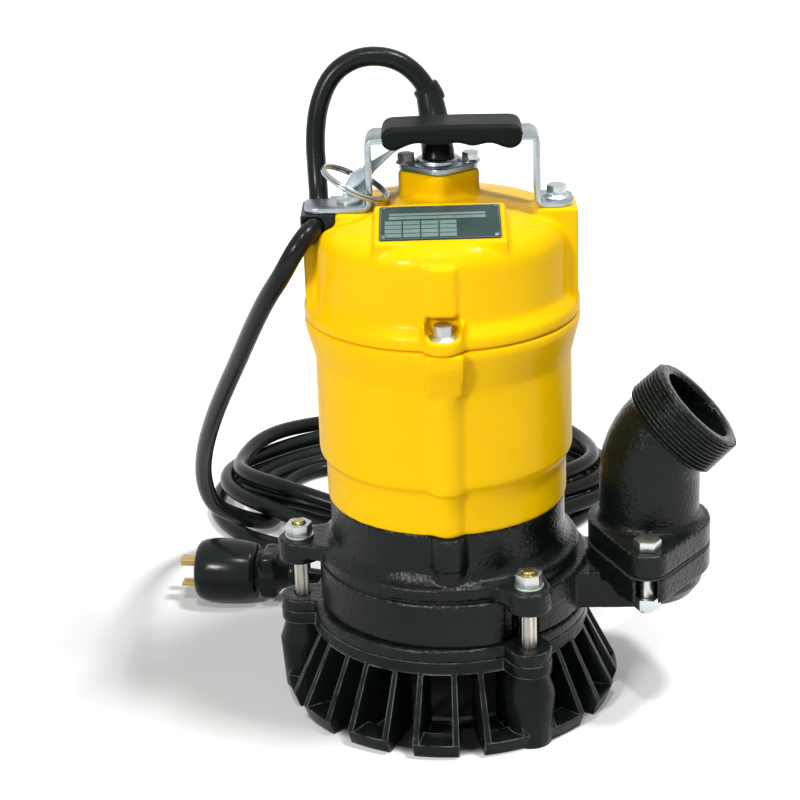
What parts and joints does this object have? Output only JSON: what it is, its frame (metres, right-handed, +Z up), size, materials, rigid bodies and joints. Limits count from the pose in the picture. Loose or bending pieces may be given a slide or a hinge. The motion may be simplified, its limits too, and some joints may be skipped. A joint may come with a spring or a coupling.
{
  "type": "submersible sump pump",
  "caption": "Upright submersible drainage pump on a finned strainer stand, with a bent threaded discharge, a carrying handle and a coiled power cord.",
  "frame": {"origin": "on the floor, under the middle of the strainer stand", "axes": "+Z up along the shaft, +X to the discharge side (its plane is turned 6.7 degrees from +X towards -Y), -Y to the nameplate side"},
  "size_m": [0.318, 0.4715, 0.3588],
  "materials": {
    "black_enamel": "glossy",
    "yellow_enamel": "glossy",
    "zinc_steel": "satin",
    "bright_steel": "polished",
    "plated_steel": "satin",
    "black_rubber": "satin",
    "grip_plastic": "matte",
    "plate_slate": "satin",
    "brass": "satin",
    "core_steel": "satin",
    "shaft_steel": "polished",
    "winding_copper": "varnished",
    "grey_iron": "matte",
    "seal_ceramic": "matte",
    "capacitor_plastic": "glossy",
    "gasket_sheet": "matte"
  },
  "bodies": {
    "pump": {"strainer": "black_enamel", "suction_cover": "black_enamel", "pump_casing": "black_enamel", "discharge_elbow": "black_enamel", "oil_casing": "black_enamel", "head_cover": "yellow_enamel", "motor_housing": "yellow_enamel", "elbow_gasket": "gasket_sheet", "casing_gasket": "gasket_sheet", "elbow_bolts": "plated_steel", "elbow_nuts": "plated_steel", "casing_studs": "plated_steel", "stud_nuts": "plated_steel", "stud_washers": "plated_steel", "cover_bolts": "plated_steel", "handle_bolts": "plated_steel", "gland_screws": "black_enamel", "gland_plate": "zinc_steel", "handle_strap": "zinc_steel", "rope_tab": "zinc_steel", "oil_plug": "brass", "oil_plug_washer": "gasket_sheet", "stator_core": "core_steel", "stator_windings": "winding_copper", "motor_bracket": "grey_iron", "upper_bracket": "grey_iron", "lower_bearing": "shaft_steel", "upper_bearing": "shaft_steel", "seal_seats": "seal_ceramic", "oil_lifter": "capacitor_plastic", "run_capacitor": "capacitor_plastic", "thermal_protector": "capacitor_plastic", "housing_oring": "black_rubber", "cover_oring": "black_rubber", "cable_boot": "black_rubber", "gland_packing": "black_rubber", "cord_clamp": "black_rubber", "cord_run": "black_rubber", "cord_tail": "black_rubber", "cord_coil": "black_rubber", "plug_body": "black_rubber", "plug_blades": "brass", "ground_pin": "brass", "handle_grip": "grip_plastic", "nameplate": "plate_slate", "nameplate_rivets": "zinc_steel"},
    "rotor": {"shaft": "shaft_steel", "rotor_core": "core_steel", "seal_rotary": "shaft_steel", "impeller": "grey_iron", "impeller_nut": "shaft_steel", "agitator": "grey_iron"},
    "ring": {"split_ring": "bright_steel"}
  },
  "joints": [
    {"name": "shaft_spin", "type": "hinge", "parent": "pump", "child": "rotor", "pos_m": [0, 0, 0.16], "axis": [0, 0, 1], "continuous": true},
    {"name": "ring_swing", "type": "hinge", "parent": "pump", "child": "ring", "pos_m": [-0.0262, -0.006, 0.2882], "axis": [0, 1, 0], "range_deg": [0, 25]}
  ]
}
